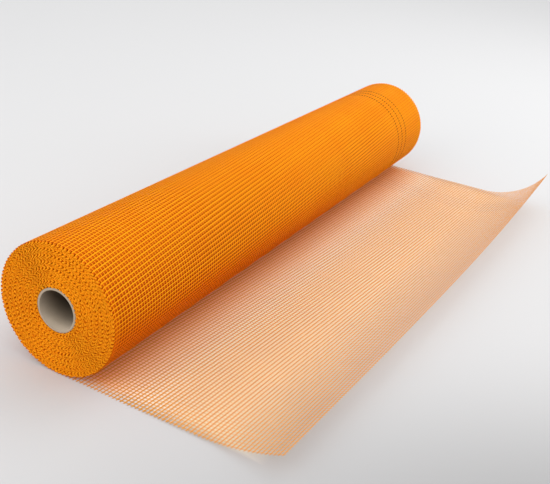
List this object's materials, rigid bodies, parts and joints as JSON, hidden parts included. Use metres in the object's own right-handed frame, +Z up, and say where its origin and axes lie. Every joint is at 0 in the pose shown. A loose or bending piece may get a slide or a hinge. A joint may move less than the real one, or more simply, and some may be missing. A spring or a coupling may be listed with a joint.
{
  "type": "roll of laid scrim",
  "caption": "Wide roll of open glass-fibre mesh wound on a paperboard core, lying on its side with a short curled end unrolled over the floor.",
  "frame": {"origin": "on the floor, straight below the middle of the roll's axis, on the flat underside of the scrim", "axes": "+X along the roll's axis, towards the edge with the marker lines; -Y the way the loose end runs out; +Z up"},
  "size_m": [1, 0.4399, 0.169],
  "materials": {
    "core_tube": "matt, spirally wound paperboard",
    "scrim": "orange, lightly glossy coating on glass yarn"
  },
  "bodies": {
    "root": {"core_tube": "core_tube", "scrim": "scrim"}
  },
  "joints": []
}
